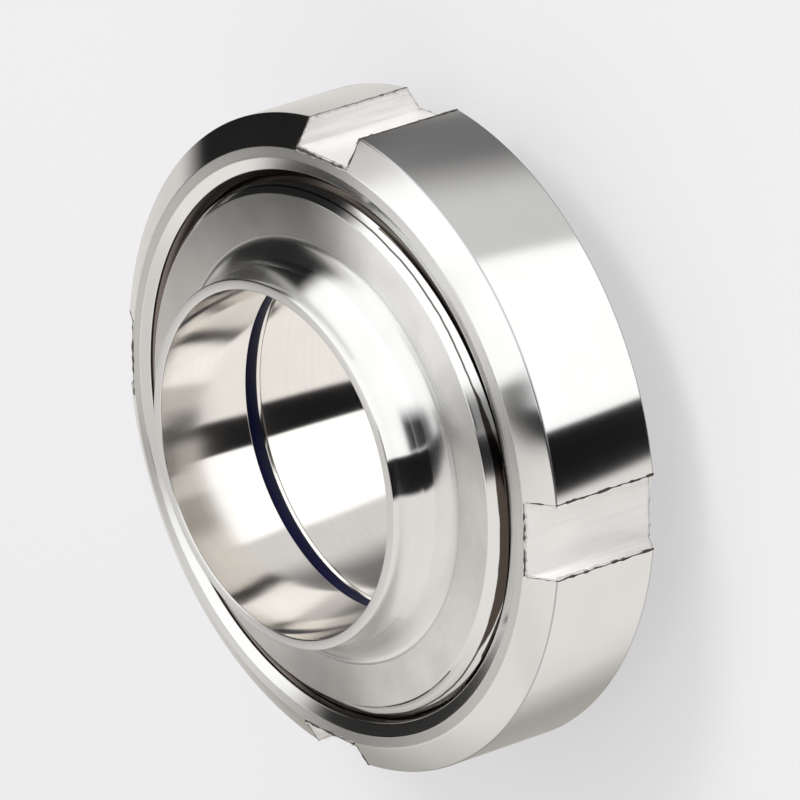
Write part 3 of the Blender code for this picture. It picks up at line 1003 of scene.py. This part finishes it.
class UNION_OT_set_stage(bpy.types.Operator):
    """Pale floor, soft studio light and the camera at the photograph's angle"""

    bl_idname = "weld_union.set_stage"
    bl_label = "Set Stage"

    def execute(self, context):
        self.make_camera(context)
        self.make_world(context)
        self.make_lamp(context)
        self.make_floor(context)
        context.scene.view_settings.view_transform = "Standard"
        return {"FINISHED"}

    def make_camera(self, context):
        """Long-lens camera, aimed and rolled as the photograph is."""
        stage = context.scene.union_stage
        camera = bpy.data.objects.new("camera", bpy.data.cameras.new("camera"))
        context.scene.collection.objects.link(camera)
        camera.data.lens = stage.lens
        camera.data.sensor_width = SENSOR_WIDTH
        camera.data.clip_start = CLIP_NEAR
        camera.data.clip_end = CLIP_FAR
        back = Vector((
            math.sin(stage.azimuth) * math.cos(stage.elevation),
            -math.cos(stage.azimuth) * math.cos(stage.elevation),
            math.sin(stage.elevation)))
        level = back.to_track_quat("Z", "Y").to_matrix()
        turn = level @ Matrix.Rotation(stage.roll, 3, "Z")
        camera.matrix_world = Matrix.Translation(
            Vector(stage.aim) + back * stage.distance) @ turn.to_4x4()
        context.scene.camera = camera

    def make_lamp(self, context):
        """Wide soft lamp that lays the union's faint shadow; polished steel doesn't mirror it."""
        lamp = bpy.data.objects.new("soft_lamp", bpy.data.lights.new("soft_lamp", "AREA"))
        context.scene.collection.objects.link(lamp)
        lamp.data.size = LAMP_SIZE
        lamp.data.energy = LAMP_POWER
        lamp.visible_glossy = False
        way = Vector(LAMP_PLACE)
        turn = way.to_track_quat("Z", "Y").to_matrix().to_4x4()
        lamp.matrix_world = Matrix.Translation(way) @ turn

    def make_world(self, context):
        """Studio air: soft and dark cards by direction, plain pale for the camera."""
        world = bpy.data.worlds.new("studio")
        world.use_nodes = True
        tree = world.node_tree
        tree.nodes.clear()
        place = add_node(tree, "ShaderNodeTexCoord")
        axes = add_node(tree, "ShaderNodeSeparateXYZ", links={0: place.outputs["Generated"]})
        around = add_node(tree, "ShaderNodeMath", {"operation": "ARCTAN2"}, {
            0: axes.outputs["Y"], 1: axes.outputs["X"]})
        above = add_node(tree, "ShaderNodeMath", {"operation": "ARCSINE"}, {0: axes.outputs["Z"]})
        tone = add_node(tree, "ShaderNodeRGB")
        tone.outputs[0].default_value = linear(STUDIO_AIR)
        seen = tone.outputs[0]
        for _, azimuths, elevations, softness, colour in STUDIO_CARDS:
            sides = []
            for source, span, soft in (
                    (around.outputs[0], azimuths, softness[0:2]),
                    (above.outputs[0], elevations, softness[2:4])):
                for edge, blur, flip in ((span[0], soft[0], False), (span[1], soft[1], True)):
                    step = add_node(tree, "ShaderNodeMapRange", {
                        "interpolation_type": "SMOOTHSTEP",
                        1: math.radians(edge - blur), 2: math.radians(edge + blur),
                        3: 1.0 if flip else 0.0, 4: 0.0 if flip else 1.0}, {0: source})
                    sides.append(step.outputs[0])
            cover = sides[0]
            for side in sides[1:]:
                cover = add_node(tree, "ShaderNodeMath", {"operation": "MULTIPLY"}, {
                    0: cover, 1: side}).outputs[0]
            layer = add_node(tree, "ShaderNodeMix", {"data_type": "RGBA", 7: linear(colour)}, {
                0: cover, 6: seen})
            seen = layer.outputs[2]
        studio = add_node(tree, "ShaderNodeBackground", {"Strength": STUDIO_LEVEL}, {"Color": seen})
        pale = add_node(tree, "ShaderNodeBackground", {"Color": linear(BACKDROP), "Strength": 1.0})
        path = add_node(tree, "ShaderNodeLightPath")
        either = add_node(tree, "ShaderNodeMixShader", links={
            0: path.outputs["Is Camera Ray"], 1: studio.outputs[0], 2: pale.outputs[0]})
        add_node(tree, "ShaderNodeOutputWorld", links={"Surface": either.outputs[0]})
        context.scene.world = world

    def make_floor(self, context):
        """Seamless pale floor that keeps the shadow and isn't seen from below."""
        shape = bmesh.new()
        bmesh.ops.create_grid(shape, x_segments=1, y_segments=1, size=FLOOR_HALF)
        floor = mesh_object("floor", shape)
        material, tree = new_material("pale_backdrop_paper")
        paper = add_node(tree, "ShaderNodeBsdfDiffuse", {"Color": linear(FLOOR_SHADE)})
        path = add_node(tree, "ShaderNodeLightPath")
        glow = add_node(tree, "ShaderNodeEmission", {
            "Color": linear(FLOOR_GLOW), "Strength": FLOOR_GLOW_LEVEL})
        share = add_node(tree, "ShaderNodeMath", {"operation": "MULTIPLY", 1: FLOOR_GLOW_SHARE}, {
            0: path.outputs["Is Camera Ray"]})
        both = add_node(tree, "ShaderNodeMixShader", links={
            0: share.outputs[0], 1: paper.outputs[0], 2: glow.outputs[0]})
        facing = add_node(tree, "ShaderNodeNewGeometry")
        clear = add_node(tree, "ShaderNodeBsdfTransparent")
        side = add_node(tree, "ShaderNodeMixShader", links={
            0: facing.outputs["Backfacing"], 1: both.outputs[0], 2: clear.outputs[0]})
        add_node(tree, "ShaderNodeOutputMaterial", links={"Surface": side.outputs[0]})
        floor.data.materials.append(material)
        floor.location.z = -FLOOR_DROP
        floor.visible_glossy = False


# Panel and registration


PIECE_OPERATORS = (
    UNION_OT_make_liner,
    UNION_OT_make_male,
    UNION_OT_make_seal,
    UNION_OT_make_nut,
    UNION_OT_set_stage,
)


class VIEW3D_PT_weld_union(bpy.types.Panel):
    """Sizes, finishes and makers of the weld union"""

    bl_label = "Weld Union"
    bl_idname = "VIEW3D_PT_weld_union"
    bl_space_type = "VIEW_3D"
    bl_region_type = "UI"
    bl_category = "Weld Union"

    def draw(self, context):
        for operator in PIECE_OPERATORS:
            self.layout.operator(operator.bl_idname)
        for name, group in SETTINGS:
            box = self.layout.box()
            box.label(text=group.__doc__.strip())
            settings = getattr(context.scene, name)
            for key in group.__annotations__:
                box.prop(settings, key)


CLASSES = tuple(group for _, group in SETTINGS) + PIECE_OPERATORS + (VIEW3D_PT_weld_union,)


def register():
    """Register the classes and hang the settings on the scene."""
    for item in CLASSES:
        bpy.utils.register_class(item)
    for name, group in SETTINGS:
        setattr(bpy.types.Scene, name, PointerProperty(type=group))


def unregister():
    """Take the settings and classes away again."""
    for name, _ in reversed(SETTINGS):
        delattr(bpy.types.Scene, name)
    for item in reversed(CLASSES):
        bpy.utils.unregister_class(item)


def main():
    """Make every piece and set the stage."""
    register()
    bpy.ops.weld_union.make_liner()
    bpy.ops.weld_union.make_male()
    bpy.ops.weld_union.make_seal()
    bpy.ops.weld_union.make_nut()
    bpy.ops.weld_union.set_stage()


if __name__ == "__main__":
    main()
